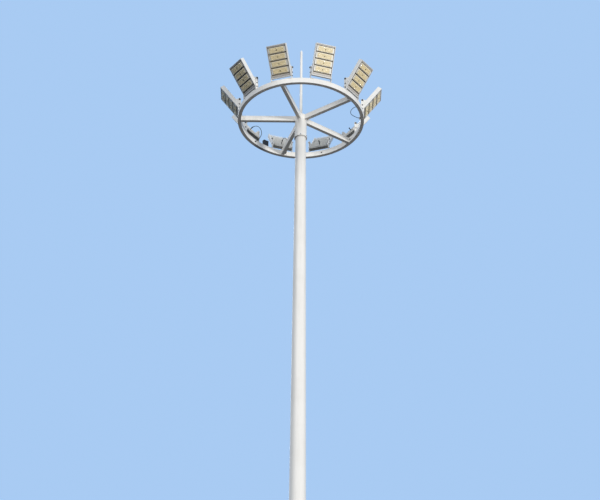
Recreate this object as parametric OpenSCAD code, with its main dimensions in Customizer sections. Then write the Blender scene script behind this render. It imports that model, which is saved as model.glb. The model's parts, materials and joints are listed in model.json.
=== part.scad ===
// High mast floodlight tower
// Millimetres, +Z up. The origin is the middle of the base flange's underside.
// The side seen in the photograph faces -Y. Floodlights are numbered round the ring from -Y towards +X.

/* [Mast] */
// Height of the mast's top end above the foundation
mast_h = 20000; // [16000:100:24000]
// Outside diameter of the mast at its top end
mast_top_od = 182; // [170:1:186]
// Growth of the mast's diameter over each metre down
mast_taper = 11.1; // [9:0.1:12]
// Wall of both mast sections
mast_wall = 6; // [4:0.5:10]
// Height where the upper section's lower end sits
slip_z = 9900; // [7000:100:12000]
// Length of the lower section that is inside the upper one
slip_len = 700; // [450:10:1000]

/* [Base] */
// Diameter of the base flange
flange_d = 660; // [650:5:800]
// Thickness of the base flange
flange_t = 30; // [20:1:50]
// Diameter of the circle of anchor bolts
anchor_pcd = 550; // [540:5:580]
// Number of anchor bolts, and of ribs between them
anchor_n = 12; // [8:1:14]
// Diameter of an anchor bolt's hole
anchor_hole_d = 34; // [26:1:42]
// Height of a rib
rib_h = 230; // [150:5:300]
// Thickness of a rib
rib_t = 12; // [8:1:20]
// Width of a rib's upper end
rib_top_w = 28; // [15:1:45]
// Height of a rib's outer end
rib_toe = 24; // [12:1:40]
// How far a rib's outer end stays inside the flange's edge
rib_edge = 14; // [8:1:30]
// How far the mast's lower end stays above the foundation
foot_recess = 8; // [4:1:15]

/* [Service door] */
// Height of the door's middle
door_z = 900; // [700:10:1200]
// Width of the door
door_w = 150; // [130:2:170]
// Height of the door, with its round ends
door_h = 490; // [400:5:600]
// Thickness of the door
door_t = 6; // [4:0.5:10]
// Width of the lip that the door lies on
door_lip = 12; // [8:1:20]
// Width of the frame round the door
door_frame_w = 15; // [10:1:20]
// How far the frame stands out of the mast
door_frame_out = 14; // [8:1:25]
// Depth of the frame
door_frame_deep = 78; // [70:1:95]
// How far the door lies behind the frame's front
door_sunk = 2; // [1:0.5:5]

/* [Lamp ring] */
// Diameter of the ring, between the middles of its tube
ring_d = 2200; // [2000:10:2600]
// Width of the tube of the ring and spokes
tube_w = 60; // [50:1:80]
// Height of the tube of the ring and spokes
tube_h = 100; // [80:1:120]
// Wall of the tube of the ring and spokes
tube_wall = 4; // [3:0.5:6]
// Number of spokes
spoke_n = 5; // [3:1:5]

/* [Hub and rod] */
// Inside diameter of the hub sleeve
sleeve_id = 192; // [191:0.5:200]
// Wall of the hub sleeve
sleeve_wall = 8; // [5:0.5:12]
// How far the sleeve reaches below the ring's underside
sleeve_drop = 376; // [250:2:400]
// Height of the thicker collar at the sleeve's lower end
collar_h = 44; // [30:1:60]
// How far the collar stands out of the sleeve
collar_out = 10; // [6:1:16]
// Thickness of the head cap
cap_t = 10; // [6:1:16]
// Length of the lightning rod
rod_len = 1530; // [1000:10:2000]
// Diameter of the lightning rod at its foot
rod_foot_d = 54; // [44:1:60]
// Diameter of the lightning rod at its upper end
rod_tip_d = 42; // [30:1:44]
// Height of the socket round the rod's foot
socket_h = 60; // [40:1:100]
// Wall of the socket round the rod's foot
socket_wall = 9; // [6:0.5:14]

/* [Floodlight] */
// Number of floodlights
light_n = 10; // [6:1:10]
// Tilt of a floodlight out of the vertical, with its face looking out and down
tilt = 36; // [20:1:60]
// Tilt of floodlight 1, which is aimed higher than the others
tilt_first = 27; // [20:1:60]
// Width of a floodlight
light_w = 360; // [320:2:400]
// Length of a floodlight
light_l = 580; // [560:2:600]
// Depth of a floodlight's side rails
light_deep = 80; // [70:1:85]
// Radius of the rails' long edges
rail_r = 6; // [3:0.5:7]
// Distance from a floodlight's lower end to its pivot, along the light
pivot_low = 150; // [130:1:170]
// Distance from a floodlight's face to its pivot
pivot_back = 125; // [115:1:140]
// Width of a side rail
rail_w = 14; // [14:1:22]
// Height of the rim at the top
top_rim = 14; // [10:1:20]
// Height of the rim at the lower end
low_rim = 22; // [14:1:30]
// Depth of the recess that holds the modules
recess = 20; // [16:1:26]
// Thickness of the plate behind the modules
plate_t = 8; // [6:0.5:12]
// Number of cooling fins
fin_n = 12; // [6:2:16]
// Thickness of a cooling fin
fin_t = 3; // [2:0.5:5]
// How far the fins stay inside the rails at the back
fin_in = 6; // [3:1:12]

/* [Modules] */
// Number of modules in a floodlight
module_n = 4; // [2:1:4]
// Height of a module
module_h = 99; // [90:1:104]
// Gap between two modules
module_gap = 22; // [16:1:26]
// Gap between the top rim and the first module
module_top = 30; // [20:1:36]
// Thickness of a module's plate, which stands out of the recess
module_t = 22; // [10:1:26]
// Gap between a module and the side rails
module_side = 8; // [3:0.5:9]
// Width of the edge above and below a module's lens field
module_rim = 7; // [4:0.5:12]
// Width of the plain ends beside a module's lens field
module_end = 28; // [10:1:40]
// How far the lens field stands out of a module's plate
lens_out = 3; // [1:0.5:4]

/* [Bracket] */
// Height of the pivot above the ring
pivot_up = 250; // [225:1:300]
// Width of the bracket's strap
strap_w = 50; // [40:1:60]
// Thickness of the bracket's strap
strap_t = 6; // [4:0.5:10]
// Gap between a floodlight and the bracket's arms
arm_gap = 6; // [5:0.5:10]
// Outer radius of the bends of the bracket
bend_r = 14; // [8:1:24]
// Diameter of the pivot pin
pin_d = 16; // [12:1:20]
// Diameter of the clamp nut on a pin
nut_d = 36; // [28:1:44]
// Height of the clamp nut
nut_h = 18; // [12:1:26]

/* [Cables] */
// Diameter of a lamp cable
cable_d = 10; // [8:1:12]
// Diameter of the gland at each end of a cable
gland_d = 24; // [20:1:28]
// Length of the gland on the ring
gland_h = 14; // [10:1:20]
// Width of the junction box, along the ring
box_w = 100; // [80:1:120]
// Height of the junction box
box_h = 118; // [90:1:140]
// Thickness of the junction box's lid
box_lid = 14; // [8:1:20]

/* [Hidden] */
// Smoothness of round pieces
$fn = 96;
// Smoothness of the ring and of what is cut to fit it
ring_fn = 256;
// Space between faces that are welded or bonded together
weld_gap = 0.3;
// Space round the lower mast section inside the upper one
slip_gap = 0.5;
// Running clearance of a pin, on the radius
pin_gap = 0.07;
// Space round the door
door_gap = 1;
// A cutting body reaches this far past what it cuts
over = 1;

// Mast sizes at a height
function od_upper(z) = mast_top_od + mast_taper * (mast_h - z) / 1000;
function od_lower(z) = od_upper(z) - 2 * (mast_wall + slip_gap);
lower_top = slip_z + slip_len;

// Heights and radii of the head
ring_top = mast_h;
ring_bottom = ring_top - tube_h;
ring_r = ring_d / 2;
ring_ri = ring_r - tube_w / 2;
ring_ro = ring_r + tube_w / 2;
sleeve_r = sleeve_id / 2 + sleeve_wall;
sleeve_bottom = ring_bottom - sleeve_drop;
socket_r = rod_foot_d / 2 + weld_gap + socket_wall;
pivot_z = ring_top + pivot_up;
arm_h = pivot_up - weld_gap;

// Sizes of a floodlight, from its pivot, with its face on -Y before the tilt
face_y = -pivot_back;
back_y = face_y + light_deep;
low_z = -pivot_low;
top_z = low_z + light_l;
recess_z0 = low_z + low_rim;
recess_z1 = top_z - top_rim;
inner_w = light_w - 2 * rail_w;
plate_y = face_y + recess;
fin_y = plate_y + plate_t;
fin_end = back_y - fin_in;
modules_l = module_n * module_h + (module_n - 1) * module_gap;
module_z = recess_z1 - module_top - modules_l;
module_w = inner_w - 2 * module_side;
lens_w = module_w - 2 * module_end;
lens_h = module_h - 2 * module_rim;
arm_in = light_w / 2 + arm_gap;
arm_out = arm_in + strap_t;
ear_t = rail_w / 2;
ear_r = 24;
ear_root = 52;
pin_r = pin_d / 2;
pin_end = arm_out + nut_h - 5;
boss_r = 20;
boot_r = gland_d / 2;
plate_corner = 8;
lens_corner = 5;

// Aim of a floodlight, and azimuths from -Y towards +X
function tilt_of(k) = k == 1 ? tilt_first : tilt;
function light_az(k) = 360 / light_n * (k - 0.5);
function spoke_az(j) = light_az(2) + 360 / spoke_n * (j - 1);

// How far the junction box stays inside the ring's edges, and its lid outside the box
box_in = 2;
lid_out = 3;
box_deep = tube_w - 2 * box_in;

// Rib outline, from the mast's axis; its inner end reaches into the mast and is cut to its cone
rib_r0 = od_lower(flange_t + rib_h) / 2 - 2 * mast_wall;
rib_r1 = flange_d / 2 - rib_edge;

// Cable route, as distance along the ring, distance in from the ring's middle and depth below the pivot
cable_x = -60;
cable_start = boot_r + weld_gap;
cable_end = tube_w / 2 + gland_h + weld_gap;
cable_drop = pivot_up + tube_h / 2;
route = [
    [0, cable_start, 0],
    [0, 34, 0],
    [-1, 62, 0],
    [-4, 92, 5],
    [-9, 124, 18],
    [-16, 154, 42],
    [-24, 182, 78],
    [-33, 202, 122],
    [-42, 208, 168],
    [-50, 198, 208],
    [-56, 174, 240],
    [cable_x, 142, 266],
    [cable_x, 108, 286],
    [cable_x, 74, cable_drop],
    [cable_x, cable_end, cable_drop]
];

// Floodlights whose cables hang in the open, and the slack of each as a share of the longest loop
cabled = [3, 6, 7];
function slack(k) = k == 3 ? 1 : 0.88;
function cable_line(q) = cable_start + (cable_end - cable_start) * q[2] / cable_drop;
function cable_point(q, k) = [q[0], cable_line(q) + (q[1] - cable_line(q)) * slack(k), -q[2]];

// Colours
function white_paint() = [0.93, 0.94, 0.94];
function light_grey() = [0.80, 0.82, 0.83];
function lens_cream() = [0.95, 0.92, 0.82];
function black_part() = [0.06, 0.06, 0.065];

// Frame of floodlight k on the ring, with -Y outwards
module at_light(k) {
    rotate([0, 0, light_az(k)])
        translate([0, -ring_r, 0])
            children();
}

// Frame of floodlight k at its pivot, tilted
module at_pivot(k) {
    at_light(k)
        translate([0, 0, pivot_z])
            rotate([tilt_of(k), 0, 0])
                children();
}

// Box between two corners
module box(a, b) {
    translate(a)
        cube(b - a);
}

// Cylinder along X
module rod_x(r, x0, x1) {
    translate([x0, 0, 0])
        rotate([0, 90, 0])
            cylinder(h = x1 - x0, r = r);
}

// Cone of the mast between two heights, at a distance out of its lower section's surface
module lower_cone(z0, z1, out) {
    translate([0, 0, z0])
        cylinder(h = z1 - z0, r1 = od_lower(z0) / 2 + out, r2 = od_lower(z1) / 2 + out);
}

module upper_cone(z0, z1, out) {
    translate([0, 0, z0])
        cylinder(h = z1 - z0, r1 = od_upper(z0) / 2 + out, r2 = od_upper(z1) / 2 + out);
}

// Upright plate with round ends, looking to -Y
module racetrack(w, h, y0, y1) {
    translate([0, y1, door_z])
        rotate([90, 0, 0])
            linear_extrude(height = y1 - y0) {
                square([w, h - w], center = true);
                translate([0, (h - w) / 2])
                    circle(d = w);
                translate([0, -(h - w) / 2])
                    circle(d = w);
            }
}

door_front = -od_lower(door_z) / 2 - door_frame_out;
door_outer_w = door_w + 2 * (door_gap + door_frame_w);
door_outer_h = door_h + 2 * (door_gap + door_frame_w);
door_seat = door_front + door_t + door_sunk;
door_cut = -od_lower(door_z) / 4;

// Base
module base_flange() {
    color(white_paint())
        difference() {
            cylinder(h = flange_t, d = flange_d);
            lower_cone(-over, flange_t + over, weld_gap);
            for (i = [0:anchor_n - 1])
                rotate([0, 0, 360 / anchor_n * (i + 0.5)])
                    translate([anchor_pcd / 2, 0, -over])
                        cylinder(h = flange_t + 2 * over, d = anchor_hole_d);
        }
}

module base_ribs() {
    color(white_paint())
        for (i = [0:anchor_n - 1])
            rotate([0, 0, 360 / anchor_n * i])
                difference() {
                    translate([0, rib_t / 2, flange_t])
                        rotate([90, 0, 0])
                            linear_extrude(height = rib_t)
                                polygon([
                                    [rib_r0, 0],
                                    [rib_r1, 0],
                                    [rib_r1, rib_toe],
                                    [od_lower(flange_t + rib_h) / 2 + rib_top_w, rib_h],
                                    [rib_r0, rib_h]
                                ]);
                    lower_cone(flange_t - over, flange_t + rib_h + over, weld_gap);
                }
}

// Mast
module mast_lower() {
    color(white_paint())
        difference() {
            lower_cone(foot_recess, lower_top, 0);
            lower_cone(foot_recess - over, lower_top + over, -mast_wall);
            racetrack(door_outer_w + 2 * weld_gap, door_outer_h + 2 * weld_gap, door_front - over, door_cut);
        }
}

module mast_upper() {
    color(white_paint())
        difference() {
            upper_cone(slip_z, mast_h, 0);
            upper_cone(slip_z - over, mast_h + over, -mast_wall);
        }
}

// Service door
module door_frame() {
    color(white_paint())
        difference() {
            racetrack(door_outer_w, door_outer_h, door_front, door_front + door_frame_deep);
            racetrack(door_w + 2 * door_gap, door_h + 2 * door_gap, door_front - over, door_seat);
            racetrack(door_w - 2 * door_lip, door_h - 2 * door_lip, door_front, door_front + door_frame_deep + over);
        }
}

module service_door() {
    color(white_paint())
        racetrack(door_w, door_h, door_seat - door_t, door_seat);
}

// Hub
module hub_sleeve() {
    color(white_paint())
        difference() {
            union() {
                translate([0, 0, sleeve_bottom])
                    cylinder(h = ring_top - sleeve_bottom, r = sleeve_r);
                translate([0, 0, sleeve_bottom])
                    cylinder(h = collar_h, r = sleeve_r + collar_out);
            }
            translate([0, 0, sleeve_bottom - over])
                cylinder(h = ring_top - sleeve_bottom + 2 * over, d = sleeve_id);
        }
}

module head_cap() {
    color(white_paint())
        difference() {
            union() {
                translate([0, 0, ring_top])
                    cylinder(h = cap_t, r = sleeve_r);
                translate([0, 0, ring_top + cap_t - over])
                    cylinder(h = socket_h + over, r = socket_r);
            }
            translate([0, 0, ring_top + cap_t])
                cylinder(h = socket_h + over, r = rod_foot_d / 2 + weld_gap);
        }
}

module lightning_rod() {
    color(white_paint())
        translate([0, 0, ring_top + cap_t])
            union() {
                cylinder(h = rod_len - rod_tip_d, d1 = rod_foot_d, d2 = rod_tip_d);
                translate([0, 0, rod_len - rod_tip_d])
                    cylinder(h = rod_tip_d, d1 = rod_tip_d, d2 = rod_tip_d / 4);
            }
}

// Ring and spokes
module lamp_ring() {
    color(white_paint())
        translate([0, 0, ring_bottom])
            rotate_extrude($fn = ring_fn)
                difference() {
                    translate([ring_ri, 0])
                        square([tube_w, tube_h]);
                    translate([ring_ri + tube_wall, tube_wall])
                        square([tube_w - 2 * tube_wall, tube_h - 2 * tube_wall]);
                }
}

module spoke(j) {
    color(white_paint())
        rotate([0, 0, spoke_az(j)])
            difference() {
                intersection() {
                    box([-tube_w / 2, -ring_r, ring_bottom], [tube_w / 2, 0, ring_top]);
                    translate([0, 0, ring_bottom - over])
                        cylinder(h = tube_h + 2 * over, r = ring_ri - weld_gap, $fn = ring_fn);
                }
                box(
                    [-tube_w / 2 + tube_wall, -ring_r - over, ring_bottom + tube_wall],
                    [tube_w / 2 - tube_wall, over, ring_top - tube_wall]
                );
                translate([0, 0, ring_bottom - over])
                    cylinder(h = tube_h + 2 * over, r = sleeve_r + weld_gap);
            }
}

// Bracket of one floodlight, a bent strap on the ring
module strap_outline(w, r) {
    translate([-w, r])
        square([2 * w, arm_h - r]);
    translate([-w + r, 0])
        square([2 * (w - r), r + over]);
    for (s = [-1, 1])
        translate([s * (w - r), r])
            circle(r = r);
}

module bracket(k) {
    color(white_paint())
        at_light(k)
            translate([0, 0, ring_top + weld_gap])
                difference() {
                    union() {
                        translate([0, strap_w / 2, 0])
                            rotate([90, 0, 0])
                                linear_extrude(height = strap_w)
                                    difference() {
                                        strap_outline(arm_out, bend_r);
                                        translate([0, strap_t])
                                            strap_outline(arm_in, bend_r - strap_t);
                                    }
                        translate([0, 0, arm_h]) {
                            rod_x(strap_w / 2, arm_in, arm_out);
                            rod_x(strap_w / 2, -arm_out, -arm_in);
                        }
                    }
                    translate([0, 0, arm_h])
                        rod_x(pin_r + pin_gap, -arm_out - over, arm_out + over);
                }
}

module clamp_nuts() {
    color(black_part())
        for (k = [1:light_n], s = [0, 1])
            at_light(k)
                translate([0, 0, pivot_z])
                    mirror([s, 0, 0])
                        difference() {
                            rod_x(nut_d / 2, arm_out, arm_out + nut_h);
                            rod_x(pin_r + pin_gap, arm_out - over, pin_end + 1);
                        }
}

// Floodlight
module ear_outline() {
    polygon([
        [back_y - 12, -ear_root],
        [0, -ear_r],
        [0, ear_r],
        [back_y - 12, ear_root]
    ]);
    circle(r = ear_r);
}

module pivot_end(s) {
    mirror([s, 0, 0]) {
        translate([light_w / 2 - ear_t, 0, 0])
            rotate([90, 0, 90])
                linear_extrude(height = ear_t)
                    ear_outline();
        rod_x(boss_r, light_w / 2 - over, arm_in - weld_gap);
        rod_x(pin_r, arm_in - over, pin_end);
    }
}

// Cross-section of the casting: two rails, the plate between them and the fins behind it
module rail_profile() {
    difference() {
        union() {
            translate([-light_w / 2 + rail_r, face_y])
                square([light_w - 2 * rail_r, light_deep]);
            translate([-light_w / 2, face_y + rail_r])
                square([light_w, light_deep - 2 * rail_r]);
            for (x = [-1, 1], y = [face_y + rail_r, back_y - rail_r])
                translate([x * (light_w / 2 - rail_r), y])
                    circle(r = rail_r);
        }
        translate([-inner_w / 2, face_y - over])
            square([inner_w, recess + over]);
        translate([-inner_w / 2, fin_y])
            square([inner_w, light_deep]);
    }
    for (i = [0:fin_n - 1])
        translate([inner_w * ((i + 0.5) / fin_n - 0.5) - fin_t / 2, fin_y - over])
            square([fin_t, fin_end - fin_y + over]);
}

module housing(k) {
    color(light_grey())
        at_pivot(k)
            union() {
                translate([0, 0, low_z])
                    linear_extrude(height = light_l)
                        rail_profile();
                box([-inner_w / 2 - over, face_y, recess_z1], [inner_w / 2 + over, plate_y + over, top_z]);
                box([-inner_w / 2 - over, face_y, low_z], [inner_w / 2 + over, plate_y + over, recess_z0]);
                for (s = [0, 1])
                    pivot_end(s);
                rotate([90, 0, 0])
                    cylinder(h = -fin_y + over, d = gland_d - 8);
                sphere(r = boot_r);
            }
}

// Plate of a module with round corners, from a depth to another
module module_plate(w, h, r, y0, y1) {
    translate([0, y1, module_h / 2])
        rotate([90, 0, 0])
            linear_extrude(height = y1 - y0) {
                square([w - 2 * r, h], center = true);
                square([w, h - 2 * r], center = true);
                for (x = [-1, 1], z = [-1, 1])
                    translate([x * (w / 2 - r), z * (h / 2 - r)])
                        circle(r = r);
            }
}

module led_modules(k) {
    color(lens_cream())
        at_pivot(k)
            for (i = [0:module_n - 1])
                translate([0, plate_y, module_z + i * (module_h + module_gap)]) {
                    module_plate(module_w, module_h, plate_corner, -module_t, 0);
                    module_plate(lens_w, lens_h, lens_corner, -module_t - lens_out, -module_t + over);
                }
}

// Junction box on the ring, between floodlights 6 and 7
module junction_box() {
    color(black_part())
        rotate([0, 0, (light_az(6) + light_az(7)) / 2])
            translate([0, -ring_r, ring_top + weld_gap])
                union() {
                    box([-box_w / 2, -box_deep / 2, 0], [box_w / 2, box_deep / 2, box_h]);
                    box(
                        [-box_w / 2 - lid_out, -box_deep / 2 - lid_out, box_h - box_lid],
                        [box_w / 2 + lid_out, box_deep / 2 + lid_out, box_h]
                    );
                }
}

// Cables
module ring_glands() {
    color(black_part())
        for (k = [1:light_n])
            rotate([0, 0, light_az(k)])
                difference() {
                    translate([cable_x, -ring_ri - 10, ring_bottom + tube_h / 2])
                        rotate([-90, 0, 0])
                            cylinder(h = gland_h + 10, d = gland_d);
                    difference() {
                        translate([0, 0, ring_bottom])
                            cylinder(h = tube_h, r = ring_ro, $fn = ring_fn);
                        translate([0, 0, ring_bottom - over])
                            cylinder(h = tube_h + 2 * over, r = ring_ri - weld_gap, $fn = ring_fn);
                    }
                }
}

function unit(v) = v / norm(v);
function step_at(p, i) = unit(p[min(i + 1, len(p) - 1)] - p[max(i - 1, 0)]);

module swept(p, d, sides) {
    n = len(p);
    ring_points = [
        for (i = [0:n - 1])
            let (t = step_at(p, i), u = unit(cross(t, [1, 0, 0])), v = cross(t, u))
                for (s = [0:sides - 1])
                    p[i] + d / 2 * (cos(360 * s / sides) * u + sin(360 * s / sides) * v)
    ];
    sides_of = [
        for (i = [0:n - 2], s = [0:sides - 1])
            [i * sides + s, i * sides + (s + 1) % sides, (i + 1) * sides + (s + 1) % sides, (i + 1) * sides + s]
    ];
    start_face = [[for (s = [0:sides - 1]) sides - 1 - s]];
    end_face = [[for (s = [0:sides - 1]) (n - 1) * sides + s]];
    polyhedron(points = ring_points, faces = concat(sides_of, start_face, end_face));
}

module lamp_cables() {
    color(black_part())
        for (k = cabled)
            at_light(k)
                translate([0, 0, pivot_z])
                    swept([for (q = route) cable_point(q, k)], cable_d, 8);
}

base_flange();
base_ribs();
mast_lower();
mast_upper();
door_frame();
service_door();
hub_sleeve();
head_cap();
lightning_rod();
lamp_ring();
for (j = [1:spoke_n]) spoke(j);
for (k = [1:light_n]) bracket(k);
clamp_nuts();
junction_box();
ring_glands();
lamp_cables();
for (k = [1:light_n]) housing(k);
for (k = [1:light_n]) led_modules(k);
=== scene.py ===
# %% [markdown]
# # A high mast floodlight tower
# The solids of this tower already exist: mast, ring, brackets and floodlights stand at their real size.
# This lesson dresses them. It adds cables, lenses, bolts, welds and covers, and gives every surface a
# finish made of shader nodes. Nothing here moves or resizes a solid. Lengths are in metres.

# %% Load the frame
import json
import math

import bpy
from mathutils import Matrix, Vector


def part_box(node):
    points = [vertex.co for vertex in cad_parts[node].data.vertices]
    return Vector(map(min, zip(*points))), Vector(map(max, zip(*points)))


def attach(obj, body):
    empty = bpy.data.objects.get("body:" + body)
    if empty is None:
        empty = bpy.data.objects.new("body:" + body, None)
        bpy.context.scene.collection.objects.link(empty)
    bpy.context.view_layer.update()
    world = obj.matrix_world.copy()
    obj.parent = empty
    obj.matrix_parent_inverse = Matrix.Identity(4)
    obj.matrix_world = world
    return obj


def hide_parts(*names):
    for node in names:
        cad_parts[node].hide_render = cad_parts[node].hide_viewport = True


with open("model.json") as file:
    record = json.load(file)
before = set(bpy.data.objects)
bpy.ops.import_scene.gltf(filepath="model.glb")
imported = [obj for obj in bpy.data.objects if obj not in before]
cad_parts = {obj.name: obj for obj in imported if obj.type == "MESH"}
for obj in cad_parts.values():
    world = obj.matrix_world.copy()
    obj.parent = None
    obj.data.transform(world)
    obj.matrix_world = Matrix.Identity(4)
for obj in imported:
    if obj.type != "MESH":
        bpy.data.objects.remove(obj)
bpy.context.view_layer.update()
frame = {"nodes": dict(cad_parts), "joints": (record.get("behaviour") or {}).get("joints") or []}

nodes = frame["nodes"]
scene = bpy.context.scene

# %% [markdown]
# ## The camera
# The tower was seen from the ground, about 24 m away, by someone looking 33 degrees up through a long
# lens. A camera could be aimed at an empty with a constraint. Here it is placed with one matrix, because
# a matrix holds the slight roll and the place together and nothing can drift.

# %% Camera
CAMERA_PLACE = (0.0, -24.19, 1.57)
CAMERA_LENS = 101.4
CAMERA_SENSOR = 36.0
CAMERA_REACH = 500.0
CAMERA_PITCH = math.radians(32.81)
CAMERA_ROLL = math.radians(0.50)
CAMERA_YAW = math.radians(0.013)

camera_data = bpy.data.cameras.new("camera")
camera_data.sensor_width = CAMERA_SENSOR
camera_data.lens = CAMERA_LENS
camera_data.clip_end = CAMERA_REACH
camera = bpy.data.objects.new("camera", camera_data)
scene.collection.objects.link(camera)
camera.matrix_world = (
    Matrix.Translation(CAMERA_PLACE)
    @ Matrix.Rotation(-CAMERA_YAW, 4, "Z")
    @ Matrix.Rotation(math.pi / 2 + CAMERA_PITCH, 4, "X")
    @ Matrix.Rotation(CAMERA_ROLL, 4, "Z")
)
scene.camera = camera
print("camera:", CAMERA_LENS, "mm lens at", CAMERA_PLACE)

# %% [markdown]
# ## Where the floodlights are
# Each floodlight turns on a hinge, and the frame knows each hinge's place and axis. Two matrices come
# from them: one that stands upright at the pivot, for what is fixed to the ring, and one that leans with
# the light, for what rides on it. In both, X runs along the pivot, Y looks to the mast and Z is up.

# %% Floodlight places
TOWER = "tower"
UP = Vector((0, 0, 1))
DOWNWARD = (0, 0, -1)
OUTWARD = (0, -1, 0)
INWARD = (0, 1, 0)


def pivot_places(joint):
    across = Vector(joint["axis"]).normalized()
    upright = Matrix((across, UP.cross(across), UP)).transposed().to_4x4()
    upright.translation = Vector(joint["pos_m"])
    lean = -math.radians(joint["range_deg"][0])
    return upright, upright @ Matrix.Rotation(lean, 4, "X")


LIGHTS = range(1, len(frame["joints"]) + 1)
upright_at = {}
light_at = {}
for joint in frame["joints"]:
    number = int(joint["name"].split("_")[1])
    upright_at[number], light_at[number] = pivot_places(joint)
print("floodlights:", sorted(light_at))

# %% [markdown]
# ## Shader helpers
# Every finish below is built from nodes. A few small helpers keep that readable: they add a node, set its
# inputs, open a node group with named sockets, and open a material with its Principled shader.

# %% Helpers for nodes and groups
def add(tree, kind, **settings):
    node = tree.nodes.new(kind)
    for key, value in settings.items():
        setattr(node, key, value)
    return node


def set_inputs(node, **values):
    for key, value in values.items():
        node.inputs[key.replace("_", " ")].default_value = value
    return node


def feed(tree, value, socket):
    if isinstance(value, (int, float, tuple)):
        socket.default_value = value
    else:
        tree.links.new(value, socket)


def open_group(name, inputs, outputs):
    group = bpy.data.node_groups.new(name, "ShaderNodeTree")
    for label, kind, value in inputs:
        socket = group.interface.new_socket(name=label, in_out="INPUT", socket_type=kind)
        socket.default_value = value
    for label, kind in outputs:
        group.interface.new_socket(name=label, in_out="OUTPUT", socket_type=kind)
    return group, add(group, "NodeGroupInput").outputs, add(group, "NodeGroupOutput").inputs


def place_group(tree, group, **values):
    return set_inputs(add(tree, "ShaderNodeGroup", node_tree=group), **values).outputs


def open_material(name):
    material = bpy.data.materials.new(name)
    material.use_nodes = True
    return material, material.node_tree, material.node_tree.nodes["Principled BSDF"]


print("helpers for nodes and groups are ready")

# %% [markdown]
# Dirt, wear and gloss are all masks: values from 0 to 1 over the surface. A mask starts as noise, is cut
# between two levels, and is then multiplied or added to others. A painted image could hold such a mask,
# but nodes stay sharp at any distance and need no UVs.

# %% Helpers for masks
def combine(tree, operation, a, b):
    node = add(tree, "ShaderNodeMath", operation=operation, use_clamp=True)
    feed(tree, a, node.inputs[0])
    feed(tree, b, node.inputs[1])
    return node.outputs[0]


def scaled(tree, mask, share):
    return combine(tree, "MULTIPLY", mask, share)


def summed(tree, total, *others):
    for other in others:
        total = combine(tree, "ADD", total, other)
    return total


def noise(tree, place, scale, detail=4.0, roughness=0.55):
    node = set_inputs(add(tree, "ShaderNodeTexNoise"), Detail=detail, Roughness=roughness)
    feed(tree, scale, node.inputs["Scale"])
    feed(tree, place, node.inputs["Vector"])
    return node.outputs["Fac"]


def between(tree, value, low, high):
    node = add(tree, "ShaderNodeMapRange", interpolation_type="SMOOTHSTEP")
    set_inputs(node, From_Min=low, From_Max=high)
    feed(tree, value, node.inputs["Value"])
    return node.outputs["Result"]


print("helpers for masks are ready")

# %% [markdown]
# Two more helpers use the masks: one mixes two colours, the other turns a height into a bump. The Mix node
# keeps sockets for several kinds of data in one list, so the places of its colour sockets get names.

# %% Helpers for colours and relief
MIX_FACTOR = 0
MIX_A = 6
MIX_B = 7
MIX_RESULT = 2


def mix_colour(tree, factor, a, b):
    node = add(tree, "ShaderNodeMix", data_type="RGBA")
    feed(tree, factor, node.inputs[MIX_FACTOR])
    feed(tree, a, node.inputs[MIX_A])
    feed(tree, b, node.inputs[MIX_B])
    return node.outputs[MIX_RESULT]


def relief(tree, shader, height, strength, distance, normal=None):
    bump = set_inputs(add(tree, "ShaderNodeBump"), Strength=strength, Distance=distance)
    feed(tree, height, bump.inputs["Height"])
    if normal is not None:
        feed(tree, normal, bump.inputs["Normal"])
    tree.links.new(bump.outputs[0], shader.inputs["Normal"])


print("helpers for colours and relief are ready")

# %% [markdown]
# ## Weather on paint
# Outdoor paint is never one colour. Dust settles in soft patches, rain pulls it down in streaks and small
# specks stay. Near the ground, splashed soil clings to the steel. This could be painted on a texture, but
# a node group works on any mesh: it reads the place of a point in metres, so a streak is as long on the
# mast as on a bracket.

# %% Weather group
STREAK_STRETCH = (1, 1, 0.04)
SPLASH_HIGH = 0.6
SPLASH_SHARE = 0.6
SPECK_SHARE = 0.12
DUST_DRY = 0.5
DUST_HIGH = 0.6
weather, w_in, w_out = open_group(
    "weather",
    [
        ("Clean", "NodeSocketColor", (0.8, 0.8, 0.8, 1)),
        ("Grime", "NodeSocketColor", (0.4, 0.4, 0.36, 1)),
        ("Patch Scale", "NodeSocketFloat", 3.0),
        ("Patches", "NodeSocketFloat", 0.2),
        ("Streaks", "NodeSocketFloat", 0.2),
        ("Dry", "NodeSocketFloat", 0.4),
    ],
    [("Color", "NodeSocketColor"), ("Roughness", "NodeSocketFloat"), ("Height", "NodeSocketFloat")],
)
w_place = add(weather, "ShaderNodeTexCoord").outputs["Object"]
w_long = set_inputs(add(weather, "ShaderNodeMapping"), Scale=STREAK_STRETCH)
weather.links.new(w_place, w_long.inputs["Vector"])
w_axes = add(weather, "ShaderNodeSeparateXYZ")
weather.links.new(w_place, w_axes.inputs[0])

w_patch = noise(weather, w_place, w_in["Patch Scale"], detail=6, roughness=0.6)
w_patch = between(weather, w_patch, low=0.42, high=0.75)
w_streak = noise(weather, w_long.outputs[0], scale=45, detail=3)
w_streak = between(weather, w_streak, low=0.5, high=0.72)
w_speck = noise(weather, w_place, scale=320, detail=2)
w_speck = between(weather, w_speck, low=0.66, high=0.74)
w_blotch = noise(weather, w_place, scale=22, detail=5)
w_blotch = between(weather, w_blotch, low=0.3, high=0.7)
w_splash = scaled(weather, between(weather, w_axes.outputs["Z"], low=SPLASH_HIGH, high=0.0), w_blotch)
w_dust = summed(
    weather,
    scaled(weather, w_patch, w_in["Patches"]),
    scaled(weather, w_streak, w_in["Streaks"]),
    scaled(weather, w_speck, SPECK_SHARE),
    scaled(weather, w_splash, SPLASH_SHARE),
)
w_peel = noise(weather, w_place, scale=260, detail=2)

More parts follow.
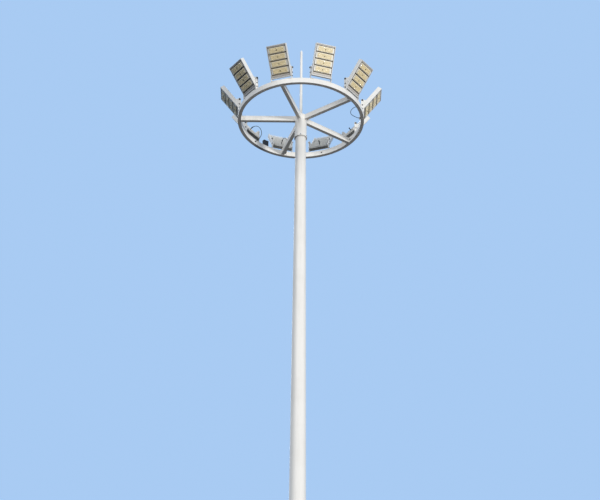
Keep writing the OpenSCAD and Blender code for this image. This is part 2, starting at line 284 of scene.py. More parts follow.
feed(weather, mix_colour(weather, w_dust, w_in["Clean"], w_in["Grime"]), w_out["Color"])
feed(weather, summed(weather, w_in["Dry"], scaled(weather, w_dust, DUST_DRY)), w_out["Roughness"])
feed(weather, summed(weather, w_peel, scaled(weather, w_dust, DUST_HIGH)), w_out["Height"])
print("group:", weather.name)

# %% [markdown]
# ## Edges
# Sheared steel and cast aluminium have a small round on every edge, which catches light, and paint wears
# thin there first. Bevelling every solid would be heavy. The Bevel node finds the edges while rendering:
# its normal gives the round, and where it differs from the true normal, there is an edge.

# %% Edge group
edges, e_in, e_out = open_group(
    "edges",
    [("Radius", "NodeSocketFloat", 0.002), ("Wear", "NodeSocketFloat", 0.4)],
    [("Worn", "NodeSocketFloat"), ("Normal", "NodeSocketVector")],
)
e_bevel = add(edges, "ShaderNodeBevel", samples=4)
edges.links.new(e_in["Radius"], e_bevel.inputs["Radius"])
e_dot = add(edges, "ShaderNodeVectorMath", operation="DOT_PRODUCT")
edges.links.new(e_bevel.outputs[0], e_dot.inputs[0])
edges.links.new(add(edges, "ShaderNodeNewGeometry").outputs["Normal"], e_dot.inputs[1])
e_bent = combine(edges, "SUBTRACT", 1.0, e_dot.outputs["Value"])
e_sharp = between(edges, e_bent, low=0.03, high=0.25)
e_place = add(edges, "ShaderNodeTexCoord").outputs["Object"]
e_broken = noise(edges, e_place, scale=60, detail=5, roughness=0.7)
e_broken = between(edges, e_broken, low=0.45, high=0.65)
e_worn = scaled(edges, scaled(edges, e_sharp, e_broken), e_in["Wear"])
feed(edges, e_worn, e_out["Worn"])
feed(edges, e_bevel.outputs[0], e_out["Normal"])
print("group:", edges.name)

# %% [markdown]
# ## Grain of moulded pieces
# Moulded plastic and rubber keep the fine grain of their mould, and their gloss is uneven. The group gives
# a height for the bump, a value for the roughness and a mask for the dust that lies on them.

# %% Grain group
GLOSS_SPREAD = 0.25
grain, g_in, g_out = open_group(
    "grain",
    [("Scale", "NodeSocketFloat", 900.0), ("Dry", "NodeSocketFloat", 0.45)],
    [("Height", "NodeSocketFloat"), ("Roughness", "NodeSocketFloat"), ("Dust", "NodeSocketFloat")],
)
g_place = add(grain, "ShaderNodeTexCoord").outputs["Object"]
g_wide = noise(grain, g_place, scale=18, detail=5, roughness=0.6)
feed(grain, noise(grain, g_place, g_in["Scale"], detail=2), g_out["Height"])
feed(grain, summed(grain, g_in["Dry"], scaled(grain, g_wide, GLOSS_SPREAD)), g_out["Roughness"])
feed(grain, between(grain, g_wide, low=0.5, high=0.8), g_out["Dust"])
print("group:", grain.name)

# %% [markdown]
# ## Painted metal
# The mast, ring, spokes and brackets are steel under white paint, and the floodlights' castings are
# powder-coated. One function makes both: weather sets the colour, edges the wear, and a bump adds the fine
# orange peel that sprayed paint has.

# %% Painted metal
PEEL_DEEP = 0.0006


def painted(name, clean, grime, worn, patch_scale, patches, streaks, dry, edge_r, wear, peel):
    material, tree, shader = open_material(name)
    skin = place_group(
        tree,
        weather,
        Clean=clean,
        Grime=grime,
        Patch_Scale=patch_scale,
        Patches=patches,
        Streaks=streaks,
        Dry=dry,
    )
    edge = place_group(tree, edges, Radius=edge_r, Wear=wear)
    feed(tree, mix_colour(tree, edge["Worn"], skin["Color"], worn), shader.inputs["Base Color"])
    feed(tree, skin["Roughness"], shader.inputs["Roughness"])
    relief(tree, shader, skin["Height"], peel, PEEL_DEEP, edge["Normal"])
    return material


white_paint = painted(
    "white_paint",
    clean=(0.82, 0.81, 0.78, 1),
    grime=(0.50, 0.49, 0.45, 1),
    worn=(0.55, 0.56, 0.56, 1),
    patch_scale=2.2,
    patches=0.14,
    streaks=0.16,
    dry=0.45,
    edge_r=0.002,
    wear=0.35,
    peel=0.25,
)
cast_coat = painted(
    "cast_coat",
    clean=(0.78, 0.78, 0.76, 1),
    grime=(0.44, 0.43, 0.39, 1),
    worn=(0.62, 0.62, 0.62, 1),
    patch_scale=9.0,
    patches=0.18,
    streaks=0.14,
    dry=0.42,
    edge_r=0.0012,
    wear=0.4,
    peel=0.35,
)
print("paints:", white_paint.name, cast_coat.name)

# %% [markdown]
# The recess of a floodlight is brown-grey, partly a dark coat and partly painted shade for its depth. The
# cover at its lower end is dark as painted shade, and the strips over its wires are grey. They are the same
# kind of coat with other colours, finer patches and sharper edges.

# %% Coats of the recess and the covers
# The brown-grey is partly the recess's dark coat and partly painted shade of its depth.
recess_coat_and_shade = painted(
    "recess_coat_and_shade",
    clean=(0.38, 0.33, 0.23, 1),
    grime=(0.24, 0.21, 0.15, 1),
    worn=(0.40, 0.39, 0.36, 1),
    patch_scale=12.0,
    patches=0.3,
    streaks=0.2,
    dry=0.5,
    edge_r=0.0008,
    wear=0.5,
    peel=0.3,
)
# This dark coat is painted shade at the lower end of a floodlight.
low_end_shade_coat = painted(
    "low_end_shade_coat",
    clean=(0.17, 0.165, 0.155, 1),
    grime=(0.26, 0.25, 0.23, 1),
    worn=(0.45, 0.45, 0.44, 1),
    patch_scale=14.0,
    patches=0.25,
    streaks=0.2,
    dry=0.45,
    edge_r=0.0008,
    wear=0.5,
    peel=0.3,
)
cover_coat = painted(
    "cover_coat",
    clean=(0.64, 0.61, 0.57, 1),
    grime=(0.42, 0.40, 0.36, 1),
    worn=(0.55, 0.55, 0.54, 1),
    patch_scale=14.0,
    patches=0.2,
    streaks=0.15,
    dry=0.42,
    edge_r=0.0008,
    wear=0.4,
    peel=0.3,
)
print("coats:", recess_coat_and_shade.name, low_end_shade_coat.name, cover_coat.name)

# %% [markdown]
# ## Black pieces and bare steel
# Nuts, glands, the junction box and the cables are black, but not alike: the nuts are plated steel, the
# box is moulded, the cable's jacket is dull rubber. Screws are zinc plated. One function takes the colour,
# the dust, the dryness and the size of the grain.

# %% Plastic, rubber and plated steel
GRAIN_DEEP = 0.0004


def moulded(name, colour, dust, dry, grain_scale, depth, metallic=0.0):
    material, tree, shader = open_material(name)
    skin = place_group(tree, grain, Scale=grain_scale, Dry=dry)
    feed(tree, mix_colour(tree, skin["Dust"], colour, dust), shader.inputs["Base Color"])
    feed(tree, skin["Roughness"], shader.inputs["Roughness"])
    shader.inputs["Metallic"].default_value = metallic
    relief(tree, shader, skin["Height"], depth, GRAIN_DEEP)
    return material


black_steel = moulded(
    "black_steel",
    colour=(0.022, 0.022, 0.024, 1),
    dust=(0.05, 0.05, 0.05, 1),
    dry=0.28,
    grain_scale=700.0,
    depth=0.15,
    metallic=0.4,
)
black_plastic = moulded(
    "black_plastic",
    colour=(0.02, 0.02, 0.022, 1),
    dust=(0.055, 0.055, 0.055, 1),
    dry=0.4,
    grain_scale=1100.0,
    depth=0.3,
)
rubber = moulded(
    "rubber",
    colour=(0.022, 0.022, 0.024, 1),
    dust=(0.06, 0.06, 0.058, 1),
    dry=0.6,
    grain_scale=1500.0,
    depth=0.25,
)
zinc = moulded(
    "zinc",
    colour=(0.56, 0.57, 0.57, 1),
    dust=(0.40, 0.40, 0.38, 1),
    dry=0.3,
    grain_scale=500.0,
    depth=0.2,
    metallic=0.9,
)
print("small pieces:", black_steel.name, black_plastic.name, rubber.name, zinc.name)

# %% [markdown]
# ## Lenses
# A module is a cream plate of clear plastic over white board, with rows of small lenses. Under each lens
# sits a yellow phosphor square, so a lens is deep yellow at its middle and pale at its rim. The mesh
# carries that as an attribute named core, because it follows each lens exactly, which no repeating pattern
# would.

# %% Lens finishes
LENS_GRAIN = 240.0
LENS_DRY = 0.12
LENS_RELIEF = 0.1
LENS_DEEP = 0.0003
CLEAR_COAT = 0.5
CLEAR_COAT_DRY = 0.08


def clear_coated(name, pale, deep, mask=None):
    material, tree, shader = open_material(name)
    skin = place_group(tree, grain, Scale=LENS_GRAIN, Dry=LENS_DRY)
    if mask is None:
        spread = skin["Dust"]
    else:
        spread = add(tree, "ShaderNodeAttribute", attribute_name=mask).outputs["Fac"]
    feed(tree, mix_colour(tree, spread, pale, deep), shader.inputs["Base Color"])
    feed(tree, skin["Roughness"], shader.inputs["Roughness"])
    shader.inputs["Coat Weight"].default_value = CLEAR_COAT
    shader.inputs["Coat Roughness"].default_value = CLEAR_COAT_DRY
    relief(tree, shader, skin["Height"], LENS_RELIEF, LENS_DEEP)
    return material


lens_plate = clear_coated("lens_plate", (0.95, 0.81, 0.51, 1), (0.91, 0.75, 0.44, 1))
lens_dome = clear_coated("lens_dome", (0.95, 0.86, 0.61, 1), (0.93, 0.68, 0.22, 1), "core")
module_board = clear_coated("module_board", (0.89, 0.87, 0.79, 1), (0.82, 0.79, 0.70, 1))
print("lenses:", lens_plate.name, lens_dome.name, module_board.name)

# %% [markdown]
# ## Tools for small hardware
# Bolts, nuts, glands and lenses are all turned shapes, so one lathe makes them: a list of radius and height
# turned about Z, with six sides for a hexagon. A piece is then a list of such shapes, each stamped at a
# matrix into one mesh. That is lighter than hundreds of objects and easy to carry on a body.

# %% Lathe and stamp
STILL = Matrix.Identity(4)


def circle(r, count):
    angles = [2 * math.pi * i / count for i in range(count)]
    return [(r * math.cos(angle), r * math.sin(angle)) for angle in angles]


def ring_faces(rows, sides, closed):
    faces = []
    for j in range(rows if closed else rows - 1):
        below = j * sides
        above = (j + 1) % rows * sides
        for i in range(sides):
            after = (i + 1) % sides
            faces.append((below + i, below + after, above + after, above + i))
    if not closed:
        faces.append(tuple(reversed(range(sides))))
        faces.append(tuple(range((rows - 1) * sides, rows * sides)))
    return faces


def lathe(profile, sides):
    points = [(x, y, z) for r, z in profile for x, y in circle(r, sides)]
    return points, ring_faces(len(profile), sides, closed=False)


def stamp(places_and_shapes):
    points = []
    faces = []
    for place, (shape_points, shape_faces) in places_and_shapes:
        start = len(points)
        points.extend(place @ Vector(point) for point in shape_points)
        faces.extend(tuple(start + i for i in face) for face in shape_faces)
    return points, faces


def stack(*shapes):
    return stamp((STILL, shape) for shape in shapes)


print("lathe and stamp are ready")

# %% [markdown]
# A shape becomes a piece when it has a mesh, a finish and a body to ride on.
# Smooth shading with sharp edges keeps round things round and corners crisp. A second helper gives the
# matrix that stands a turned shape on a face, looking the given way.

# %% Pieces and their places
STRAIGHT_DOWN = -0.999


def make_piece(name, shape, material, body, sharp=30):
    mesh = bpy.data.meshes.new(name)
    mesh.from_pydata(shape[0], [], shape[1])
    mesh.materials.append(material)
    mesh.shade_smooth()
    mesh.set_sharp_from_angle(angle=math.radians(sharp))
    piece = bpy.data.objects.new(name, mesh)
    scene.collection.objects.link(piece)
    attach(piece, body)
    return piece


def facing(x, y, z, direction):
    way = Vector(direction)
    if way.z < STRAIGHT_DOWN:
        turn = Matrix.Rotation(math.pi, 4, "X")
    else:
        turn = UP.rotation_difference(way).to_matrix().to_4x4()
    return Matrix.Translation((x, y, z)) @ turn


print("pieces can be made and placed")

# %% [markdown]
# A bolt's head is a hexagon on a washer, and a screw's head has a recess for its key. Their outlines are
# shares of the radius and the height, so one outline serves every size.

# %% Bolts and screws
HEX_SIDES = 6
WASHER = [(1.2, 0), (1.2, 0.18), (1.12, 0.24)]
BOLT_HEAD = [(1.0, 0.2), (1.0, 0.88), (0.86, 1.0)]
SCREW_HEAD = [(1.0, 0), (1.0, 0.6), (0.8, 1.0), (0.45, 1.0), (0.42, 0.35)]


def sized(outline, r, height):
    return [(r * wide, height * high) for wide, high in outline]


def hex_bolt(flats, height):
    r = flats / 2 / math.cos(math.pi / HEX_SIDES)
    washer = lathe(sized(WASHER, r, height), sides=24)
    head = lathe(sized(BOLT_HEAD, r, height), HEX_SIDES)
    return stack(washer, head)


small_screw = lathe(sized(SCREW_HEAD, r=0.0045, height=0.003), sides=12)
print("a small screw has", len(small_screw[0]), "points")

# %% [markdown]
# ## The cables
# Three lamp cables hang in loops between a floodlight and the ring. Each one leaves the rubber ball at the
# pivot straight towards the mast, falls under its own weight and goes back into a gland on the ring. A tube
# could be swept by hand, but a curve with a round bevel keeps its length measurable and its bends smooth.
# The route's points are distance along the ring, distance towards the mast and depth below the pivot. A
# shorter cable is the same loop pulled towards the straight line between its ends.

# %% Cable route
CABLE_D = 0.010
CABLE_START = 0.0123
CABLE_END = 0.0443
CABLE_X = -0.060
CABLE_DROP = 0.300
CABLE_ROUTE = [
    (0, CABLE_START, 0),
    (0, 0.034, 0),
    (-0.001, 0.062, 0),
    (-0.004, 0.092, 0.005),
    (-0.009, 0.124, 0.018),
    (-0.016, 0.154, 0.042),
    (-0.024, 0.182, 0.078),
    (-0.033, 0.202, 0.122),
    (-0.042, 0.208, 0.168),
    (-0.050, 0.198, 0.208),
    (-0.056, 0.174, 0.240),
    (CABLE_X, 0.142, 0.266),
    (CABLE_X, 0.108, 0.286),
    (CABLE_X, 0.074, CABLE_DROP),
    (CABLE_X, CABLE_END, CABLE_DROP),
]
CABLE_SLACK = {3: 1.0, 6: 0.88, 7: 0.88}


def cable_point(point, slack):
    along, inward, drop = point
    straight = CABLE_START + (CABLE_END - CABLE_START) * drop / CABLE_DROP
    return Vector((along, straight + (inward - straight) * slack, -drop))


def hang_cable(number, slack):
    curve = bpy.data.curves.new(f"lamp_cable_{number}", "CURVE")
    curve.dimensions = "3D"
    curve.bevel_depth = CABLE_D / 2
    curve.bevel_resolution = 4
    curve.resolution_u = 6
    curve.use_fill_caps = True
    curve.materials.append(rubber)
    spline = curve.splines.new("BEZIER")
    spline.bezier_points.add(len(CABLE_ROUTE) - 1)
    for knot, point in zip(spline.bezier_points, CABLE_ROUTE):
        knot.co = upright_at[number] @ cable_point(point, slack)
        knot.handle_left_type = "AUTO"
        knot.handle_right_type = "AUTO"
    cable = bpy.data.objects.new(curve.name, curve)
    scene.collection.objects.link(cable)
    return cable, spline.calc_length()


print("cables at floodlights", sorted(CABLE_SLACK), "with", len(CABLE_ROUTE), "points each")

# %% [markdown]
# At both ends a tapered, ribbed rubber sleeve keeps the cable from bending sharply. It is turned on the
# lathe and, like the cable, rides on the tower.

# %% Cables and their sleeves
SLEEVE = [
    (0.0085, 0),
    (0.0083, 0.005),
    (0.0070, 0.007),
    (0.0075, 0.010),
    (0.0064, 0.013),
    (0.0068, 0.017),
    (0.0057, 0.021),
    (0.0055, 0.029),
]
sleeve = lathe(SLEEVE, sides=20)
sleeve_ends = [facing(0, CABLE_START, 0, INWARD), facing(CABLE_X, CABLE_END, -CABLE_DROP, INWARD)]
for number, slack in CABLE_SLACK.items():
    at = upright_at[number]
    cable, length = hang_cable(number, slack)
    shape = stamp((at @ end, sleeve) for end in sleeve_ends)
    sleeves = make_piece(f"cable_sleeves_{number}", shape, rubber, TOWER)
    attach(cable, TOWER)
    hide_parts("lamp_cables")
    at @ cable_point(CABLE_ROUTE[0], slack)
    print(cable.name, "is", round(length, 3), "m long")

# %% [markdown]
# ## The stage
# The tower stands on a pale floor before a pale blue backdrop, under soft lamps. Two of them are far off
# like the sun: one above fills the front, and a weaker one behind keeps the far side readable. Lamps are
# slightly warm here and the shade is slightly blue, as by day.

# %% Lamps above
LAMP_COLOUR = (1.0, 0.96, 0.90)


def lamp(name, azimuth, height, strength, spread):
    data = bpy.data.lights.new(name, "SUN")
    data.energy = strength
    data.color = LAMP_COLOUR
    data.angle = math.radians(spread)
    thing = bpy.data.objects.new(name, data)
    turn = Matrix.Rotation(math.radians(azimuth), 4, "Z")
    thing.matrix_world = turn @ Matrix.Rotation(math.radians(90 - height), 4, "X")
    scene.collection.objects.link(thing)


lamp("upper", azimuth=-25, height=42, strength=1.3, spread=20)
lamp("back", azimuth=190, height=35, strength=0.9, spread=30)
print("two distant lamps above")

# %% [markdown]
# The key lamp is a large disc at the front right, lower than the head. The floodlights' faces look down,
# and a high lamp would miss them. From below, its light also passes under the near side of the ring and
# reaches the spokes. A disc spreads its power over the distance, so the level at the tower sets the watts.

# %% Key lamp
KEY_AZIMUTH = math.radians(43)
KEY_AWAY = 60.0
KEY_HIGH = 12.0
KEY_SIZE = 10.0
KEY_LEVEL = 2.05
head_place = Vector((0, 0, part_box("lamp_ring")[1][2]))
key_place = Matrix.Rotation(KEY_AZIMUTH, 3, "Z") @ Vector((0, -KEY_AWAY, KEY_HIGH))
key_data = bpy.data.lights.new("key", "AREA")
key_data.shape = "DISK"
key_data.size = KEY_SIZE
key_data.energy = KEY_LEVEL * math.pi * KEY_AWAY**2
key_data.color = LAMP_COLOUR
key = bpy.data.objects.new("key", key_data)
key.matrix_world = UP.rotation_difference(key_place - head_place).to_matrix().to_4x4()
key.matrix_world.translation = key_place
key.visible_camera = False
scene.collection.objects.link(key)
print("key lamp:", round(key_data.energy), "W at", KEY_AWAY, "m")

# %% [markdown]
# The backdrop is the world's colour as the camera and reflections see it, and a paler tone lights the
# shaded sides. The Light Path node tells the two apart.

# %% Backdrop
BACKDROP = (0.395, 0.597, 0.896, 1)
AMBIENT = (0.80, 0.88, 1.0, 1)
AMBIENT_LEVEL = 0.62
world = bpy.data.worlds.new("backdrop")
world.use_nodes = True
scene.world = world
sky = world.node_tree
light_path = add(sky, "ShaderNodeLightPath").outputs
seen = combine(sky, "MAXIMUM", light_path["Is Camera Ray"], light_path["Is Glossy Ray"])
seen = combine(sky, "MAXIMUM", seen, light_path["Is Transmission Ray"])
shade = set_inputs(sky.nodes["Background"], Color=AMBIENT, Strength=AMBIENT_LEVEL)
view = set_inputs(add(sky, "ShaderNodeBackground"), Color=BACKDROP, Strength=1.0)
either = add(sky, "ShaderNodeMixShader")
feed(sky, seen, either.inputs[0])
feed(sky, shade.outputs[0], either.inputs[1])
feed(sky, view.outputs[0], either.inputs[2])
feed(sky, either.outputs[0], sky.nodes["World Output"].inputs["Surface"])
scene.view_settings.view_transform = "Standard"
print("backdrop with a shade level of", AMBIENT_LEVEL)

# %% [markdown]
# The floor is one large disc. It is pale to the camera, but gives back little light, because undersides
# high above the ground are dark against the day. Light linking keeps the key lamp off it, or a bright patch
# would lie around that lamp.

# %% Floor
FLOOR_R = 140.0
FLOOR_SIDES = 96
FLOOR_DOWN = 0.001
FLOOR_BOUNCE = (0.02, 0.02, 0.022, 1)
FLOOR_SEEN = (0.66, 0.69, 0.72, 1)
FLOOR_DRY = 0.9
floor_points = [(x, y, -FLOOR_DOWN) for x, y in circle(FLOOR_R, FLOOR_SIDES)]
floor_mesh = bpy.data.meshes.new("floor")
floor_mesh.from_pydata(floor_points, [], [tuple(range(FLOOR_SIDES))])
floor = bpy.data.objects.new("floor", floor_mesh)
scene.collection.objects.link(floor)
floor_paint, tree, shader = open_material("floor_paint")
camera_ray = add(tree, "ShaderNodeLightPath").outputs["Is Camera Ray"]
feed(tree, mix_colour(tree, camera_ray, FLOOR_BOUNCE, FLOOR_SEEN), shader.inputs["Base Color"])
shader.inputs["Roughness"].default_value = FLOOR_DRY
floor_mesh.materials.append(floor_paint)
key_spares = bpy.data.collections.new("key_spares")
key_spares.objects.link(floor)
key_spares.collection_objects[0].light_linking.link_state = "EXCLUDE"
key.light_linking.receiver_collection = key_spares
print("floor:", 2 * FLOOR_R, "m across")

# %% [markdown]
# ## Finishes of the solids
# Most solids take one finish. The steel is white, and the small black solids are only seen where no
# detailed piece replaces them.

# %% Steel parts of the tower
BLACK_NODES = ("clamp_nuts", "junction_box", "ring_glands", "lamp_cables")
LIGHT_NODES = ("housing_", "led_modules_")


def finish_node(name, *materials):
    mesh = nodes[name].data
    mesh.materials.clear()
    for material in materials:
        mesh.materials.append(material)
    return mesh


steel = [name for name in nodes if name not in BLACK_NODES and not name.startswith(LIGHT_NODES)]
for name in steel:
    finish_node(name, white_paint)
for name in BLACK_NODES:
    finish_node(name, black_plastic)
print("painted:", len(steel), "steel solids")

# %% [markdown]
# A floodlight's casting takes three finishes: its rubber ball and neck are black, the floor and walls of
# the recess are dark, partly as a dark coat and partly as painted shade, and the rest is coated. A module
# takes three too, and its side walls get the same painted shade. Splitting the mesh would change the
# solid, so each face picks its material by where it lies in the light's own frame.

# %% Castings and modules
FACE_Y = -0.125
PLATE_Y = -0.105
LIGHT_LOW = -0.150
LIGHT_TOP = 0.430
INNER_W = 0.332
BOOT_R = 0.012
MODULE_Y = -0.127
LENS_Y = -0.130
NEAR = 0.0012
LOOKS_OUT = -0.9


def casting_finish(point, normal):
    if math.hypot(point.x, point.z) < BOOT_R + NEAR and point.y > PLATE_Y + BOOT_R:
        return 2
    # The recess floor and walls take the dark coat, which is partly painted shade.
    across = abs(point.x) < INNER_W / 2 + NEAR
    deep = FACE_Y + NEAR < point.y < PLATE_Y + NEAR
    along = LIGHT_LOW + NEAR < point.z < LIGHT_TOP - NEAR
    return 1 if across and deep and along else 0


def module_finish(point, normal):
    # Side walls take the recess's coat, which paints shade along the module's edges.
    if normal.y > LOOKS_OUT:
        return 2
    return 1 if point.y < LENS_Y + NEAR else 0


def finish_faces(name, materials, choose, place):
    mesh = finish_node(name, *materials)
    back = place.inverted()
    turn = back.to_3x3()
    for face in mesh.polygons:
        face.material_index = choose(back @ face.center, turn @ face.normal)


for number in LIGHTS:
    at = light_at[number]
    finish_faces(f"housing_{number}", (cast_coat, recess_coat_and_shade, rubber), casting_finish, at)
    finish_faces(f"led_modules_{number}", (module_board, lens_plate, recess_coat_and_shade), module_finish, at)
print("finished:", 2 * len(LIGHTS), "castings and module sets")

# %% [markdown]
# ## Lenses on the modules
# Each module has four rows of twelve lenses, with room at its middle for a sealed connector. A lens is a
# low dome. Its mesh comes from the lathe, and the attribute core marks the yellow spot at its top.

# %% Lens domes
MODULES = 4
MODULE_W = 0.316
MODULE_H = 0.099
MODULE_PITCH = 0.121
MODULE_LOW = -0.076
LENS_W = 0.260
LENS_H = 0.085
ROWS = 4
COLUMNS = 12
CLEAR_R = 0.015
DOME_R = 0.0082
DOME_H = 0.0052
DOME_SIDES = 10
DOME = [(1.0, 0), (0.97, 0.3), (0.8, 0.68), (0.5, 0.92), (0.42, 0.95), (0.12, 1.0)]
CORE_RING = 4
SEAT = 0.0003
module_middles = [MODULE_LOW + MODULE_H / 2 + i * MODULE_PITCH for i in range(MODULES)]


def lens_places():
    for middle in module_middles:
        for row in range(ROWS):
            for column in range(COLUMNS):
                x = LENS_W * ((column + 0.5) / COLUMNS - 0.5)
                z = LENS_H * ((row + 0.5) / ROWS - 0.5)
                if math.hypot(x, z) > CLEAR_R:
                    yield facing(x, LENS_Y + SEAT, middle + z, OUTWARD)


dome = lathe(sized(DOME, DOME_R, DOME_H), DOME_SIDES)
core_of_dome = [float(i >= CORE_RING * DOME_SIDES) for i in range(len(DOME) * DOME_SIDES)]
places = list(lens_places())
for number in LIGHTS:
    shape = stamp((light_at[number] @ place, dome) for place in places)
    piece = make_piece(f"lenses_{number}", shape, lens_dome, f"floodlight_{number}", sharp=60)
    core = piece.data.attributes.new("core", "FLOAT", "POINT")
    core.data.foreach_set("value", core_of_dome * len(places))
print("lenses:", len(places), "on each floodlight")

# %% [markdown]
# ## Screws and connectors of a floodlight
# Four screws hold a module, and a black sealed connector sits at its middle. They are small and many, so
# one mesh for each finish on each light is enough.

# %% Screws and connectors
SCREW_IN = 0.013
PLUG_HEX = [(0.0085, 0), (0.0085, 0.004), (0.0075, 0.006)]
PLUG_CAP = [(0.006, 0.005), (0.0055, 0.010), (0.004, 0.011)]
connector = stack(lathe(PLUG_HEX, HEX_SIDES), lathe(PLUG_CAP, sides=16))
screw_places = []
plug_places = []
for middle in module_middles:
    plug_places.append(facing(0, LENS_Y + SEAT, middle, OUTWARD))
    for x in (SCREW_IN - MODULE_W / 2, MODULE_W / 2 - SCREW_IN):
        for z in (SCREW_IN - MODULE_H / 2, MODULE_H / 2 - SCREW_IN):
            screw_places.append(facing(x, MODULE_Y + SEAT, middle + z, OUTWARD))

for number in LIGHTS:
    body = f"floodlight_{number}"
    at = light_at[number]
    shape = stamp((at @ place, small_screw) for place in screw_places)
    make_piece(f"module_screws_{number}", shape, zinc, body)
    shape = stamp((at @ place, connector) for place in plug_places)
    make_piece(f"connectors_{number}", shape, black_plastic, body)
print("each floodlight has", len(screw_places), "screws and", len(plug_places), "connectors")

# %% [markdown]
# ## Covers
# Covers, strips and lids are plates with round corners and a small slope along the upper edge. A Bevel
# modifier on a box could make them, but an outline raised in three rows keeps the corner's radius exact and
# goes through the same stamp as everything else.

# %% Rounded plates
QUARTERS = ((1, 1, 0), (-1, 1, 90), (-1, -1, 180), (1, -1, 270))
CORNER_STEPS = 5
LIP_SHARE = 0.3


def rounded_plate(width, depth, height, corner):
    outline = []
    for sx, sy, start in QUARTERS:
        for step in range(CORNER_STEPS + 1):
            angle = math.radians(start + 90 / CORNER_STEPS * step)
            x = sx * (width / 2 - corner) + corner * math.cos(angle)
            y = sy * (depth / 2 - corner) + corner * math.sin(angle)
            outline.append((x, y))
    lip = LIP_SHARE * min(height, corner)
    points = []
    for inset, z in ((0, 0), (0, height - lip), (lip, height)):
        points += [(x * (1 - 2 * inset / width), y * (1 - 2 * inset / depth), z) for x, y in outline]
    return points, ring_faces(3, len(outline), closed=False)


print("plates have", 4 * (CORNER_STEPS + 1), "points around")

# %% [markdown]
# A cover sits at the casting's lower end, below the open ends of the fins. Its dark colour is painted
# shade, where the lower end falls in shadow. Eight screws in two rows hold it.

# %% Covers of painted shade
COVER_W = 0.352
COVER_DEEP = 0.050
COVER_T = 0.004
COVER_CORNER = 0.006
COVER_BACK = 0.003
COVER_SCREW_IN = 0.010
COVER_COLUMNS = (-0.5, -0.17, 0.17, 0.5)
COVER_ROWS = (-0.5, 0.5)
cover_y = FACE_Y + COVER_BACK + COVER_DEEP / 2
cover = rounded_plate(COVER_W, COVER_DEEP, COVER_T, COVER_CORNER)
cover_spots = []
for column in COVER_COLUMNS:
    for row in COVER_ROWS:
        x = column * (COVER_W - 2 * COVER_SCREW_IN)
        y = row * (COVER_DEEP - 2 * COVER_SCREW_IN)
        cover_spots.append(Matrix.Translation((x, y, COVER_T)))

for number in LIGHTS:
    body = f"floodlight_{number}"
    at = light_at[number] @ facing(0, cover_y, LIGHT_LOW, DOWNWARD)
    # The cover's dark coat is painted shade at the light's lower end.
    make_piece(f"low_end_shade_cover_{number}", stamp([(at, cover)]), low_end_shade_coat, body)
    shape = stamp((at @ spot, small_screw) for spot in cover_spots)
    make_piece(f"cover_screws_{number}", shape, zinc, body)
print("tray covers:", len(LIGHTS), "with", len(cover_spots), "screws each")

# %% [markdown]
# Two grey strips cover the wires in the recess, a wide one below the modules and a narrow one above them.
# Each is given by the height of its middle in the light and by its width.

# %% Wire covers
STRIP_LONG = 0.324
STRIP_T = 0.016
STRIP_CORNER = 0.004
STRIPS = ((-0.109, 0.030), (0.406, 0.016))
strips = []
for middle, width in STRIPS:
    strip = rounded_plate(STRIP_LONG, width, STRIP_T, STRIP_CORNER)
    strips.append((facing(0, PLATE_Y + SEAT, middle, OUTWARD), strip))

for number in LIGHTS:
    shape = stamp((light_at[number] @ place, strip) for place, strip in strips)
    make_piece(f"wire_covers_{number}", shape, cover_coat, f"floodlight_{number}")
print("wire covers:", len(strips), "on each floodlight")

# %% [markdown]
# ## Pivot nuts and bracket bolts
# A domed nut with a washer clamps each end of a pivot. Two bolts hold the strap on the ring, and two black
# bolts sit on the outside of each arm. The nuts replace the plain solid ones, at the same size.

# %% Nuts and bolts of the brackets
ARM_OUT = 0.192
STRAP_TOP = -0.244
NUT_R = 0.018
NUT_H = 0.018
NUT_WASHER = [(NUT_R, 0), (NUT_R, 0.0025), (NUT_R * 0.94, 0.003)]
NUT_HEX = [(0.0160, 0.003), (0.0160, 0.0105), (0.0142, 0.012)]
NUT_DOME = [(0.0128, 0.0115), (0.0122, 0.0145), (0.0095, 0.0168), (0.004, NUT_H)]
ARM_BOLTS = (-0.110, -0.190)
FOOT_BOLT_X = 0.075
cap_nut = stack(lathe(NUT_WASHER, sides=32), lathe(NUT_HEX, HEX_SIDES), lathe(NUT_DOME, sides=20))
arm_bolt = hex_bolt(flats=0.017, height=0.010)
foot_bolt = hex_bolt(flats=0.019, height=0.012)


def both_sides(at, shape, z):
    right = at @ facing(ARM_OUT, 0, z, (1, 0, 0))
    left = at @ facing(-ARM_OUT, 0, z, (-1, 0, 0))
    return [(right, shape), (left, shape)]


nuts = []
arm_bolts = []
foot_bolts = []
for at in upright_at.values():
    nuts += both_sides(at, cap_nut, 0)
    for z in ARM_BOLTS:
        arm_bolts += both_sides(at, arm_bolt, z)
    for x in (-FOOT_BOLT_X, FOOT_BOLT_X):
        foot_bolts.append((at @ facing(x, 0, STRAP_TOP, UP), foot_bolt))
pivot_nuts = make_piece("pivot_nuts", stamp(nuts), black_steel, TOWER)
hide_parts("clamp_nuts")
make_piece("arm_bolts", stamp(arm_bolts), black_steel, TOWER)
make_piece("foot_bolts", stamp(foot_bolts), zinc, TOWER)
print("brackets:", len(nuts), "pivot nuts,", len(arm_bolts) + len(foot_bolts), "bolts")

# %% [markdown]
# ## Glands
# A cable passes the ring's wall in a gland: a hexagon against the wall and a ribbed cap that squeezes the
# seal. The cap comes from the lathe with four points a rib, and two of each four are drawn in for the
# groove. The glands replace the plain solids and keep their size.

# %% Glands
GLAND_WALL = 0.0305
GLAND_END = 0.044
GLAND_HEX = [(0.012, 0), (0.012, 0.004), (0.0112, 0.005)]
GLAND_CAP_R = 0.0105
GLAND_CAP_LOW = 0.0045
GLAND_CAP_EDGE = 0.002
GLAND_CAP_TOP = 0.8
GLAND_RIBS = 12
POINTS_A_RIB = 4
GROOVE = 0.94


